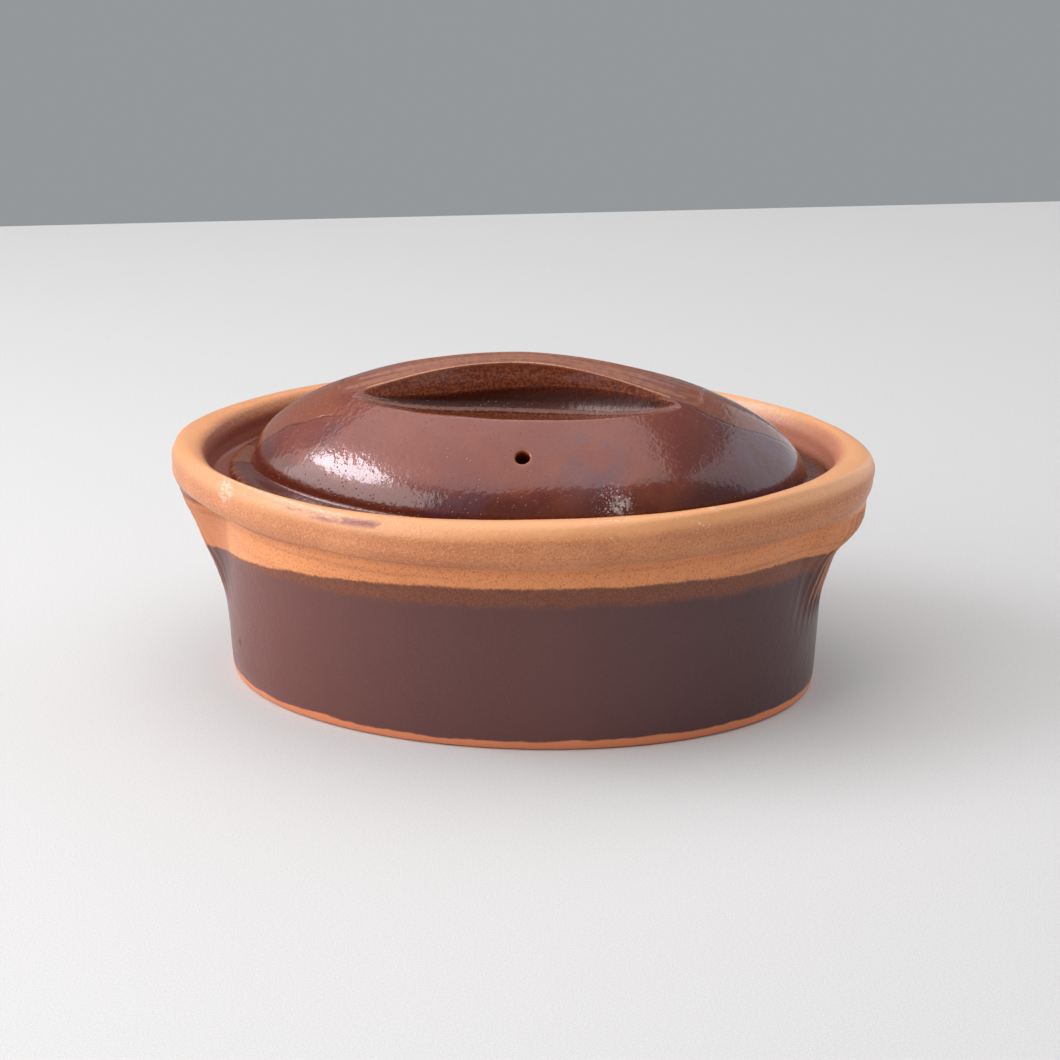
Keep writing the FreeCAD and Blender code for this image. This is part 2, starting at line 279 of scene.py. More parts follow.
def wall_ring(around, height, outset=0.0, left=0.0, right=0.0):
    """Ring of the outer wall, pushed out at its ends by a share of the way to the rim."""
    length, width = wall_axes(height, outset)
    rise = np.clip((height - LUG_BOTTOM) / (WALL_TOP - LUG_BOTTOM), 0.0, 1.0)
    half_width = LUG_FOOT_HALF_WIDTH + (LUG_HALF_WIDTH - LUG_FOOT_HALF_WIDTH) * rise
    y = width * np.sin(around)
    side = np.sign(np.cos(around) + 1e-12)
    window = 1.0 / (1.0 + (y / half_width) ** LUG_POWER)
    inner = np.clip(1.0 - (y / (RIM[1] - LUG_INSET)) ** 2, 0.0, 1.0)
    reach = np.sqrt(inner) * rim_x(y, RIM[0] - LUG_INSET)
    overhang = np.maximum(0.0, reach - length * np.abs(np.cos(around)))
    share = np.where(side > 0.0, right, left)
    return ring(length * np.cos(around) + side * window * share * overhang, y, height)


def ellipse_ring(around, length, width, height):
    return ring(length * np.cos(around), width * np.sin(around), height)


def dish_rings(around):
    """Rings from the middle of the underside, up the wall, over the rim and down to the floor's middle."""
    recess = (FOOT[0] - FOOT_RING, FOOT[1] - FOOT_RING)
    spine = recess[0] - recess[1]
    rings = [
        ellipse_ring(around, spine, 0.0, FOOT_RECESS),
        ellipse_ring(around, spine + 24.0, 26.0, FOOT_RECESS),
    ]
    # outset from the recess's edge and height, up the recess's step and over the foot's flat
    step = [
        (-6.0, FOOT_RECESS), (-1.2, FOOT_RECESS), (-0.3, FOOT_RECESS - 0.2), (0.0, 0.4),
        (0.5, 0.0), (3.0, 0.0), (7.0, 0.0),
    ]
    for outset, height in step:
        rings.append(ellipse_ring(around, recess[0] + outset, recess[1] + outset, height))
    # the foot's rounded edge and the wall below the lugs
    for height, outset in ((0.0, -1.8), (0.3, -0.6), (2.2, 0.0), (8.0, 0.0), (18.0, 0.0), (26.0, 0.0)):
        rings.append(wall_ring(around, height, outset))
    # height, then each lug's share of the way out to the rim
    sweep = [
        (32.0, 0.05, 0.00), (38.0, 0.17, 0.05), (44.0, 0.31, 0.15),
        (50.0, 0.49, 0.25), (55.5, 0.61, 0.40), (60.0, 0.74, 0.74),
        (63.0, 0.85, 0.87), (65.5, 0.92, 0.92), (68.0, 0.98, 0.94),
    ]
    for height, left, right in sweep:
        rings.append(wall_ring(around, height, 0.0, left, right))
    rings.append(wall_ring(around, WALL_TOP - 1.6, -0.4, 1.0, 0.93))
    # inset from the rim's outline, share of its drawn-out ends, tuck of its right end, drop from the crown
    band = [
        (1.7, 1.0, 1.4, 16.0), (0.2, 1.0, 1.9, 14.0), (0.0, 1.0, 0.9, 9.6),
        (0.2, 1.0, 0.2, 5.2), (1.8, 1.0, 0.0, 1.6), (5.0, 0.6, 0.0, 0.0),
    ]
    for inset, draw, tuck, drop in band:
        rings.append(rim_ring(around, inset, draw, tuck, RIM_TOP - drop))
    # insets from the opening at its ends and sides, share of its turn, drop from the crown
    slope = [(0.0, 0.0, 1.0, 0.5), (1.4, 2.4, 0.8, 2.9), (2.2, 4.2, 0.4, 7.0), (2.5, 5.2, 0.1, 11.0)]
    for end_inset, side_inset, turn, drop in slope:
        rings.append(opening_ring(around, end_inset, side_inset, turn, RIM_TOP - drop))
    # insets from the opening at its ends and sides, then height above the ledge
    ledge = [
        (2.8, 5.9, 1.0), (4.2, 7.3, 0.2), (6.2, 9.4, 0.0), (8.4, 11.8, 0.0), (10.6, 14.4, 0.0),
        (11.6, 15.8, -1.0), (11.2, 15.4, -3.5),
    ]
    for end_inset, side_inset, rise in ledge:
        rings.append(opening_ring(around, end_inset, side_inset, 0.0, LEDGE_TOP + rise))
    # height above the floor, then thickness of the clay beside it
    inside = [
        (52.0, 7.6), (42.0, 6.4), (24.0, 6.6), (12.0, 8.0),
        (5.0, 11.5), (1.2, 17.0), (0.0, 24.0), (0.0, 32.0),
    ]
    for rise, thickness in inside:
        length, width = wall_axes(FLOOR_TOP + rise, -thickness)
        rings.append(ellipse_ring(around, length, width, FLOOR_TOP + rise))
    rings.append(ellipse_ring(around, 55.0, 19.0, FLOOR_TOP))
    rings.append(ellipse_ring(around, spine, 0.0, FLOOR_TOP))
    return rings


def flute_share(points):
    """How strongly the lugs are fluted at each point, before the flutes' own wave."""
    rise = ramp(points[..., 2], *FLUTES_START) * (1.0 - ramp(points[..., 2], *FLUTES_STOP))
    ends = ramp(np.abs(points[..., 0]), *FLUTED_ENDS)
    return rise * ends


def make_dish():
    around = angles(DISH_POINTS, DISH_GATHER)
    rings = dish_rings(around)
    # how many rings each part of the net has
    underside, wall, rim, inside = 9, 16, 10, 17
    steps = [(underside - 1, 2), (wall, 5), (rim, 5), (inside - 2, 3)]
    weights = rows_along(rings, steps)
    points = np.einsum("vn,nuc->vuc", weights, np.array(rings))
    # how much of each row is outside: from the wall's foot, over the rim and down the slope inside it
    outer = weights[:, underside:underside + wall + rim].sum(axis=1)[:, None]
    normals = surface_normals(points)
    x, y, z = points[..., 0], points[..., 1], points[..., 2]
    # the combed flutes bend in towards the middle of each lug as they climb
    height_share = np.clip((z - LUG_BOTTOM) / (WALL_TOP - LUG_BOTTOM), 0.0, 1.0)
    bent = np.abs(y) + FLUTE_BEND * height_share
    lug_edge = 1.0 / (1.0 + (bent / np.where(x > 0.0, *FLUTED_HALF_WIDTH)) ** FLUTED_POWER)
    crest = (0.5 + 0.5 * np.cos(2.0 * np.pi * bent / FLUTE_PITCH)) ** FLUTE_SHARPNESS
    flute = flute_share(points) * lug_edge * outer
    points = points - normals * (FLUTE_DEPTH * flute * (1.0 - crest))[..., None]
    # throwing marks and general unevenness of the outside
    mark_depth, pace, waver = THROWING_MARKS
    marks = mark_depth * np.sin(z * pace + waver * soft_noise(points, 60.0, 3)) * ramp(z, 60.0, WALL_TOP)
    uneven = sum(depth * soft_noise(points, size, seed) for depth, size, seed in DISH_UNEVEN)
    above_foot = ramp(z, 1.0, 9.0)
    points = points + normals * ((marks + uneven) * outer * above_foot)[..., None]
    # the rim rises a little to the right and is slightly twisted and turned against the foot
    lift = np.clip((z - RIM_EASE[0]) / RIM_EASE[1], 0.0, 1.0) ** 2 * outer
    turned_x = x * math.cos(RIM_TURN) - y * math.sin(RIM_TURN)
    turned_y = x * math.sin(RIM_TURN) + y * math.cos(RIM_TURN)
    points[..., 0] += (turned_x - x) * lift
    points[..., 1] += (turned_y - y) * lift
    points[..., 2] += (RIM_TILT * x - RIM_WARP * x * y) * lift
    distance = np.cumsum(np.linalg.norm(np.diff(points, axis=0, prepend=points[:1]), axis=-1), axis=0)
    crown_row = int(np.argmax(points[..., 2].mean(axis=1)))
    row_of = (weights * np.arange(len(rings))).sum(axis=1)
    from_crown = distance - distance[crown_row]
    # strongest between the wall's last two rings, just under the rim's band
    band_fold = np.exp(-((row_of - underside - wall + 1.6) ** 2))[:, None]
    attributes = {
        "from_crown": from_crown * MM,
        "flute_crest": flute * crest,
        "flute_hollow": flute * (1.0 - crest),
        "band_fold": np.broadcast_to(band_fold, x.shape).copy(),
    }
    empty = np.zeros((0, 3))
    skipped = np.zeros((points.shape[0] - 1, points.shape[1]), bool)
    return piece_from("dish_stoneware", points, skipped, empty, [], attributes)


# ---------------------------------------------------------------- the lid

def oval_plan(size, around, grow=0.0):
    """Plan of the lid's ovals, which are a little fuller at the ends than at the shoulders."""
    power = 2.0 / DOME_POWER
    x = np.sign(np.cos(around)) * np.abs(np.cos(around)) ** power
    y = np.sign(np.sin(around)) * np.abs(np.sin(around)) ** power
    return (size[0] + grow) * x, (size[1] + grow) * y


def across_share(x, y, size):
    """How far from the lid's long axis a point lies: 0 on it, 1 on the edge of an oval."""
    along = np.minimum(1.0, np.abs(x) / size[0])
    half_width = size[1] * (1.0 - along ** DOME_POWER) ** (1.0 / DOME_POWER)
    return np.where(half_width > 0.0, np.minimum(1.0, np.abs(y) / np.maximum(half_width, 1e-9)), 1.0)


def arch(share, power, slope):
    """Falls from 1 at the crest to 0 at the edge."""
    return slope * (1.0 - share ** power) + (1.0 - slope) * np.sqrt(1.0 - share ** ARCH_FALL)


def dome_height(x, y):
    along = np.minimum(1.0, np.abs(x) / DOME[0])
    return FLANGE_TOP + DOME_HEIGHT * arch(along, *ARCH_ALONG) * arch(across_share(x, y, DOME), *ARCH_ACROSS)


def hollow_height(x, y):
    along = np.minimum(1.0, np.abs(x) / HOLLOW[0])
    vault = HOLLOW_HEIGHT * arch(along, *ARCH_ALONG) * arch(across_share(x, y, HOLLOW), *ARCH_ACROSS)
    bulge = np.maximum(0.0, 1.0 - (x / BULGE[0]) ** 2) * np.maximum(0.0, 1.0 - (y / BULGE[1]) ** 2)
    return LEDGE_TOP + LID_GAP + vault - BULGE[2] * bulge


def ridge_edge(around):
    """Plan of the ridge's top edge: narrowest in the middle, with blunt ends."""
    cosine = np.cos(around)
    x = RIDGE_LENGTH * cosine
    half_width = RIDGE_WAIST + RIDGE_FLARE * (x / POCKET_LENGTH) ** 2
    y = half_width * (1.0 - np.abs(cosine) ** RIDGE_POWER) ** (1.0 / RIDGE_POWER)
    return RIDGE_MIDDLE + x, np.copysign(y, np.sin(around))


def pocket_opening(x):
    return np.maximum(0.0, 1.0 - ((x - RIDGE_MIDDLE) / POCKET_LENGTH) ** 2)


def lip_edge(around):
    """Plan of the pockets' outer lip, which comes close to the ridge's edge at the corners and beyond."""
    x, y = ridge_edge(around)
    reach = POCKET_MARGIN + (POCKET_REACH - POCKET_MARGIN) * pocket_opening(x)
    side = np.sin(around) / np.maximum(np.abs(np.sin(around)), 0.3)
    return x + POCKET_MARGIN * np.cos(around), y + reach * side


def pocket_ring(around, share, even_share, depth, lean):
    """One ring through both pockets; past their corners the rings run evenly spaced round the ridge."""
    edge_x, edge_y = ridge_edge(around)
    lip_x, lip_y = lip_edge(around)
    opening = pocket_opening(edge_x)
    place = even_share + (share - even_share) * np.sqrt(opening)
    x = edge_x + (lip_x - edge_x) * np.maximum(0.0, place)
    y = edge_y + (lip_y - edge_y) * place
    drop = depth * opening * (1.0 - lean * edge_x / POCKET_LENGTH)
    return ring(x, y, dome_height(x, y) - drop)


def lid_rings(around):
    """Rings from the crest line inside the lid to the flange, over dome and pockets, to the ridge's crest."""
    rings = []
    # half-length and half-width of the hollow's rings, then how far the flat underside reaches past it
    inside = [
        (64.0, 0.0), (65.0, 6.0), (66.5, 14.0), (69.0, 22.0), (73.0, 30.0), (78.0, 37.5), (84.0, 44.2),
        (89.0, 49.9), (92.4, 53.5), (93.8, 55.2),
    ]
    for size in inside:
        x, y = oval_plan(size, around)
        rings.append(ring(x, y, hollow_height(x, y)))
    underside = LEDGE_TOP + LID_GAP
    for outset in (0.8, 2.2, 4.0):
        x, y = oval_plan(HOLLOW, around, outset)
        rings.append(ring(x, y, underside))
    # inset from the flange's outline, then height above its underside
    flange = [(4.4, 0.0), (2.0, 0.0), (0.4, 0.5), (0.0, 1.9), (0.5, 3.3), (2.0, 4.1), (4.0, 4.2), (5.3, 4.0)]
    for inset, rise in flange:
        rings.append(ellipse_ring(around, FLANGE[0] - inset, FLANGE[1] - inset, underside + rise))
    # share of the way from the dome's edge to the pockets' outer lip
    crease_x, crease_y = oval_plan(DOME, around)
    lip_x, lip_y = lip_edge(around)
    for share in (0.0, 0.008, 0.03, 0.07, 0.13, 0.22, 0.34, 0.48, 0.63, 0.78, 0.90, 0.97):
        x = crease_x * (1.0 - share) + lip_x * share
        y = crease_y * (1.0 - share) + lip_y * share
        rings.append(ring(x, y, dome_height(x, y)))
    # share of the way from the ridge to the lip, depth below the dome in the middle, lean to one end
    pocket = [
        (1.000, 0.0, 0.0), (0.955, 0.3, 0.0), (0.890, 2.0, 0.0), (0.780, 5.5, 0.0),
        (0.600, 10.0, 0.0), (0.380, 14.5, 0.0), (0.150, 18.3, 0.0), (-0.020, 19.2, 0.0),
        (-0.085, 17.0, 0.0), (-0.100, 14.0, 0.2), (-0.075, 11.4, 0.4), (-0.025, 9.6, POCKET_SKEW),
        (-0.010, 7.6, POCKET_SKEW), (-0.018, 4.2, POCKET_SKEW), (-0.012, 1.2, POCKET_SKEW), (0.000, 0.1, 0.0),
    ]
    for number, (share, depth, lean) in enumerate(pocket):
        rings.append(pocket_ring(around, share, 1.0 - number / len(pocket), depth, lean))
    for share in RIDGE_SHARES:
        edge_x, edge_y = ridge_edge(around)
        x = edge_x - RIDGE_END_ROUND * (1.0 - share) * np.cos(around)
        rings.append(ring(x, edge_y * share, dome_height(x, edge_y * share)))
    return rings


def square_path(half):
    """Steps round a square block of cells, anticlockwise from its right side, as offsets (across, up)."""
    right = [(half, k) for k in range(-half, half)]
    top = [(k, half) for k in range(half, -half, -1)]
    left = [(-half, k) for k in range(half, -half, -1)]
    bottom = [(k, -half) for k in range(-half, half)]
    return right + top + left + bottom


def round_hole(points, grid_place, up, centre, axes, profile, fade):
    """Draws the cells round a grid point into rings round a hole's axis; returns the hole's edge, in order.

    profile gives radius and depth for each square of cells from the hole's edge outwards; fade gives radius
    and how much of the round shape is kept for the squares after those. up is 1 where rows climb towards the
    axes' second direction, or else -1.
    """
    row, column = grid_place
    across, climb, out = axes
    reach = len(profile) + len(fade) + HOLE_CELLS
    block = points[row - reach:row + reach + 1, column - reach:column + reach + 1].reshape(-1, 3) - centre
    plane = np.stack([block @ across, block @ climb], axis=-1)

    def terms(p, q):
        squares = [np.ones_like(p), p, q, p * p, p * q, q * q]
        return np.stack(squares + [p ** 3, p * p * q, p * q * q, q ** 3], axis=-1)

    fit = np.linalg.lstsq(terms(plane[:, 0], plane[:, 1]), block @ out, rcond=None)[0]
    edge = []
    for number, (radius, depth, share) in enumerate(
        [(r, d, 1.0) for r, d in profile] + [(r, 0.0, s) for r, s in fade]
    ):
        half = number + HOLE_CELLS
        path = square_path(half)
        for step, (side, rise) in enumerate(path):
            angle = 2.0 * math.pi * (step - half) / len(path)
            p, q = radius * math.cos(angle), radius * math.sin(angle)
            level = float(terms(np.array(p), np.array(q)) @ fit)
            target = centre + across * p + climb * q + out * (level - depth)
            place = (row + up * rise, column + side)
            points[place] = points[place] * (1.0 - share) + target * share
            if number == 0:
                edge.append(place)
    return edge


def keel_inset(points):
    """How far inside the keel a point lies: the strip that carries the ridge on to the lid's ends."""
    x, y = points[..., 0], np.abs(points[..., 1])
    start_width, widening, start, length = KEEL_LEFT
    left = start_width + widening * np.clip((x - start) / length, 0.0, 1.2)
    half_width, middle, reach = KEEL_RIGHT
    right = np.maximum(0.0, half_width * (1.0 - ((x - middle) / reach) ** 2))
    return np.where(x < 0.0, left, right) - y + 0.8 * soft_noise(points, 9.0, 17)


def make_lid():
    around = angles(LID_POINTS, 0.0)
    rings = lid_rings(around)
    # how many rings each part of the net has
    hollow, flange, dome, pocket, ridge = 13, 8, 12, 16, 5
    steps = [(hollow - 2, 2), (flange, 4), (dome, 4), (pocket, 4), (ridge - 1, 7)]
    weights = rows_along(rings, steps)
    points = np.einsum("vn,nuc->vuc", weights, np.array(rings))
    first_dome = hollow + flange
    first_ridge = first_dome + dome + pocket
    flange_edge = hollow + 4
    on_outside = weights[:, flange_edge:].sum(axis=1)[:, None]
    # share of the way from the ridge's crest to its edge, for the combed grooves along its top
    shares = np.concatenate([np.full(first_ridge, 1.0), RIDGE_SHARES])
    top_share = (weights @ shares)[:, None]
    top = weights[:, first_ridge - 1:].sum(axis=1)[:, None]
    normals = surface_normals(points)
    along = np.clip(1.0 - (points[..., 0] / GROOVE_REACH) ** 4, 0.0, 1.0)
    wave = 0.5 - 0.5 * np.cos(2.0 * np.pi * (RIDGE_GROOVES + 0.5) * top_share)
    groove = GROOVE_DEPTH * (1.0 - wave) * top * along * ramp(top_share, -0.1, 0.06)
    points = points - normals * groove[..., None]
    uneven = sum(depth * soft_noise(points, size, seed) for depth, size, seed in LID_UNEVEN)
    seat = weights[:, :flange_edge + 1].sum(axis=1)[:, None]
    points = points + normals * (uneven * on_outside * (1.0 - seat))[..., None]
    row_of = (weights * np.arange(len(rings))).sum(axis=1)
    opening = pocket_opening(points[..., 0])

    def line_at(ring_number, breadth):
        return np.exp(-(((row_of - ring_number) / breadth) ** 2))[:, None]

    # rings of the pockets' outer lip, of the lip that overhangs them and of the ridge's edge
    lip, fold_lip, ridge_rim = first_dome + dome, first_dome + dome + 11, first_ridge - 1
    lines = {
        "pocket_rim": (line_at(ridge_rim + 0.3, 0.55) * ramp(opening, 0.0, 0.1)
                       + line_at(lip + 0.3, 0.9) * 0.5),
        "fold_lip": line_at(fold_lip + 0.4, 0.55) * ramp(opening, 0.1, 0.5),
        "flange_rim": np.broadcast_to(line_at(flange_edge, 1.3), opening.shape).copy(),
        "undercut": line_at(fold_lip - 2.2, 1.6) * ramp(opening, 0.02, 0.3),
    }
    # the vent, tilted to stand square to the dome, is drawn into both skins' grids and joined by a tube
    middle = np.array([VENT_PLACE[0], VENT_PLACE[1], float(dome_height(*np.array(VENT_PLACE)))])
    out = np.array([0.0, -math.sin(VENT_TILT), math.cos(VENT_TILT)])
    across = np.array([1.0, 0.0, 0.0])
    climb = np.array([0.0, math.cos(VENT_TILT), math.sin(VENT_TILT)])
    outer_rows = np.where((row_of > first_dome + 1) & (row_of < first_dome + dome - 1))[0]
    inner_rows = np.where(row_of < hollow - 3)[0]

    def nearest(rows):
        offset = points[rows] - middle
        aside = offset - (offset @ out)[..., None] * out
        near_side = np.where(offset @ climb < 20.0, np.linalg.norm(aside, axis=-1), np.inf)
        row, column = np.unravel_index(np.argmin(near_side), near_side.shape)
        return int(rows[row]), int(column)

    outer_place, inner_place = nearest(outer_rows), nearest(inner_rows)
    inner_middle = middle + out * float((points[inner_place] - middle) @ out)
    profile = [(VENT_RADIUS - 0.30, 0.9), (VENT_RADIUS - 0.15, 0.3), (VENT_RADIUS + 0.25, 0.02)]
    fade = [(4.1, 0.9), (5.2, 0.6), (6.4, 0.3)]
    axes = (across, climb, out)
    outer_edge = round_hole(points, outer_place, 1, middle, axes, profile, fade)
    inner_edge = round_hole(points, inner_place, -1, inner_middle, axes, [(r, -d) for r, d in profile], fade)
    skipped = np.zeros((points.shape[0] - 1, LID_POINTS), bool)
    for row, column in (outer_place, inner_place):
        skipped[row - HOLE_CELLS:row + HOLE_CELLS, column - HOLE_CELLS:column + HOLE_CELLS] = True
    tube_rows = 5
    tube = []
    for k in range(1, tube_rows + 1):
        share = k / (tube_rows + 1)
        for top_place, low_place in zip(outer_edge, inner_edge):
            tube.append(points[top_place] * (1.0 - share) + points[low_place] * share)
    sides = len(outer_edge)
    base = points.shape[0] * LID_POINTS
    levels = [[r * LID_POINTS + c for r, c in outer_edge]]
    levels += [[base + k * sides + i for i in range(sides)] for k in range(tube_rows)]
    levels.append([r * LID_POINTS + c for r, c in inner_edge])
    faces = []
    for above, below in zip(levels[:-1], levels[1:]):
        for i in range(sides):
            j = (i + 1) % sides
            faces.append([above[i], above[j], below[j], below[i]])
    distance_from_vent = np.linalg.norm(points - middle, axis=-1)
    attributes = {
        **lines,
        "keel": keel_inset(points) * MM,
        "pocket": (weights[:, first_dome + dome + 1:first_ridge - 1].sum(axis=1)[:, None]
                   * ramp(pocket_opening(points[..., 0]), 0.0, 0.08)),
        "ridge_top": top * along,
        "outside": np.broadcast_to(on_outside, points.shape[:2]).copy(),
        "vent": 1.0 - ramp(distance_from_vent, VENT_RADIUS + 0.1, VENT_RADIUS + 1.3),
    }
    turn = np.array([[math.cos(LID_TURN), -math.sin(LID_TURN)], [math.sin(LID_TURN), math.cos(LID_TURN)]])
    tube = np.array(tube)
    for group in (points, tube):
        group[..., :2] = group[..., :2] @ turn.T + np.array(LID_SHIFT)
    return piece_from("lid_glazed", points, skipped, tube, faces, attributes)


dish = make_dish()
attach(dish, "dish")
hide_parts("casserole_dish")
lid = make_lid()
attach(lid, "lid")
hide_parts("casserole_lid")


# ---------------------------------------------------------------- materials

class Material:
    """Short ways to add the nodes of one material."""

    def __init__(self, name):
        self.material = bpy.data.materials.new(name)
        self.material.use_nodes = True
        self.tree = self.material.node_tree
        self.tree.nodes.clear()
        self.output = self.tree.nodes.new("ShaderNodeOutputMaterial")
        self.shader = self.tree.nodes.new("ShaderNodeBsdfPrincipled")
        self.tree.links.new(self.shader.outputs[0], self.output.inputs[0])
        self.place = self.add("ShaderNodeTexCoord").outputs["Object"]

    def add(self, kind, **settings):
        node = self.tree.nodes.new(kind)
        for key, value in settings.items():
            setattr(node, key, value)
        return node

    def put(self, socket, value):
        if isinstance(value, bpy.types.NodeSocket):
            self.tree.links.new(value, socket)
        else:
            socket.default_value = value

    def fill(self, node, values):
        for name, value in values.items():
            self.put(node.inputs[name], value)

    def math(self, operation, first, second=0.0, third=0.0):
        node = self.add("ShaderNodeMath", operation=operation)
        for socket, value in zip(node.inputs, (first, second, third)):
            self.put(socket, value)
        return node.outputs[0]

    def times(self, first, second):
        return self.math("MULTIPLY", first, second)

    def plus(self, first, second):
        return self.math("ADD", first, second)

    def minus(self, first, second):
        return self.math("SUBTRACT", first, second)

    def larger(self, first, second):
        return self.math("MAXIMUM", first, second)

    def size_of(self, value):
        return self.math("ABSOLUTE", value)

    def wander(self, noise, breadth):
        """Noise of 0 to 1 turned into a shift of up to half the breadth either way."""
        return self.times(self.minus(noise, 0.5), breadth)

    def attribute(self, name):
        return self.add("ShaderNodeAttribute", attribute_name=name).outputs["Fac"]

    def axis(self, name):
        node = self.add("ShaderNodeSeparateXYZ")
        self.put(node.inputs[0], self.place)
        return node.outputs[name]

    def stretched(self, x, y, z):
        node = self.add("ShaderNodeMapping")
        self.fill(node, {"Vector": self.place, "Scale": (x, y, z)})
        return node.outputs[0]

    def noise(self, scale, detail=2.0, rough=0.5, place=None):
        node = self.add("ShaderNodeTexNoise")
        self.fill(node, {"Vector": place or self.place, "Scale": scale, "Detail": detail, "Roughness": rough})
        return node.outputs["Fac"]

    def cells(self, scale):
        """How far a point is from the nearest of many scattered points."""
        node = self.add("ShaderNodeTexVoronoi", feature="F1")
        self.fill(node, {"Vector": self.place, "Scale": scale})
        return node.outputs["Distance"]

    def ramp(self, value, low, high, start=0.0, end=1.0):
        node = self.add("ShaderNodeMapRange", interpolation_type="SMOOTHSTEP")
        self.fill(node, {"Value": value, "From Min": low, "From Max": high, "To Min": start, "To Max": end})
        return node.outputs[0]

    def blend(self, share, first, second):
        node = self.add("ShaderNodeMix", data_type="RGBA")
        self.put(node.inputs["Factor"], share)
        self.put(node.inputs[6], first)
        self.put(node.inputs[7], second)
        return node.outputs[2]

    def blend_value(self, share, first, second):
        node = self.add("ShaderNodeMix", data_type="FLOAT")
        for socket, value in zip(node.inputs[0:1] + node.inputs[2:4], (share, first, second)):
            self.put(socket, value)
        return node.outputs[0]

    def spot(self, centre, radius):
        """1 at a place on the piece, 0 beyond the radius."""
        node = self.add("ShaderNodeVectorMath", operation="DISTANCE")
        self.put(node.inputs[0], self.place)
        node.inputs[1].default_value = centre
        return self.ramp(node.outputs["Value"], 0.3 * radius, radius, 1.0, 0.0)

    def spots(self, first, second):
        """Two spots as one, each given as a place and a radius."""
        return self.larger(self.spot(*first), self.spot(*second))

    def glossy(self, normal, refraction, coat, coat_roughness, coat_refraction):
        """Clear coat over the glaze, both with the same fine relief."""
        self.fill(self.shader, {
            "Normal": normal, "Coat Normal": normal, "IOR": refraction,
            "Coat Weight": coat, "Coat Roughness": coat_roughness, "Coat IOR": coat_refraction,
        })

    def bump(self, height, strength, distance):
        node = self.add("ShaderNodeBump")
        self.fill(node, {"Strength": strength, "Distance": distance, "Height": height})
        return node.outputs[0]


def shade(red, green, blue):
    return (red, green, blue, 1.0)


TAN = shade(0.50, 0.180, 0.068)
TAN_WALL_PAINTED_LIGHT = shade(0.92, 0.335, 0.105)
TAN_LIGHT = shade(0.70, 0.285, 0.125)
TAN_DEEP = shade(0.42, 0.120, 0.046)
TAN_CROWN = shade(0.74, 0.345, 0.150)
TAN_PINK = shade(0.52, 0.19, 0.13)
IRON_AND_SHADE = shade(0.20, 0.035, 0.025)
UMBER = shade(0.150, 0.036, 0.013)
UMBER_LIGHT = shade(0.23, 0.064, 0.024)
WALL_LIT_LEFT = shade(0.145, 0.040, 0.032)
WALL_GLAZE = shade(0.108, 0.033, 0.029)
WALL_SHADED_RIGHT = shade(0.066, 0.021, 0.024)
TERRACOTTA = shade(0.70, 0.205, 0.085)
TERRACOTTA_LIGHT = shade(0.66, 0.24, 0.11)
INSIDE_GLAZE = shade(0.31, 0.085, 0.050)
INSIDE_LIGHT = shade(0.28, 0.085, 0.056)
FLUTE_CREST = shade(0.55, 0.25, 0.14)
LID_GLAZE = shade(0.140, 0.024, 0.012)
LID_RED = shade(0.180, 0.036, 0.014)
LID_LOW = shade(0.072, 0.010, 0.004)
LID_SHADED_RIGHT = shade(0.035, 0.006, 0.006)
LID_BREAK = shade(0.25, 0.062, 0.016)
LID_BLUE = shade(0.062, 0.032, 0.055)
LID_DARK_AND_SHADE = shade(0.028, 0.007, 0.005)
RIDGE_BROWN = shade(0.25, 0.080, 0.030)
EDGE_GLINT = shade(0.62, 0.30, 0.15)
LID_SHEEN = shade(1.0, 0.60, 0.56)
WEAR_AND_GLINT = shade(0.80, 0.70, 0.66)

# Marks on the pieces: place and radius, in metres
WORN_CROWN = ((-0.0938, -0.0483, 0.0815), 0.0055)
SCRATCHES = (((0.0688, -0.0635, 0.0870), 0.008), ((0.042, -0.0752, 0.0870), 0.009))
CHIP = ((-0.0955, -0.0316, 0.0181), 0.0016)
BLUE_PATCHES = (((0.030, -0.0458, 0.0936), 0.020), ((0.0889, -0.0152, 0.0885), 0.026))
RED_PATCHES = (((0.0214, -0.0540, 0.0895), 0.016), ((0.0520, -0.0460, 0.0885), 0.019))
GLINT_SPOT = ((0.0415, -0.0518, 0.0841), 0.0042)
SPECK_SPREAD = ((0.0395, -0.0518, 0.0841), 0.0090)
# How far down the outside from the crown the band ends and the iron stain runs, in metres
BAND_BOTTOM = 0.0172
STAIN_LINE = 0.0042
# Between these x, in metres, the painted shade on the left lug's flank fades into the wall
LUG_SHADE_EDGE = (-0.0996, -0.0970)
# Height of the dip line as a polynomial in x, highest power first
DIP_LINE = (-20.0, 1.4, -0.446, 0.022, 0.0618)


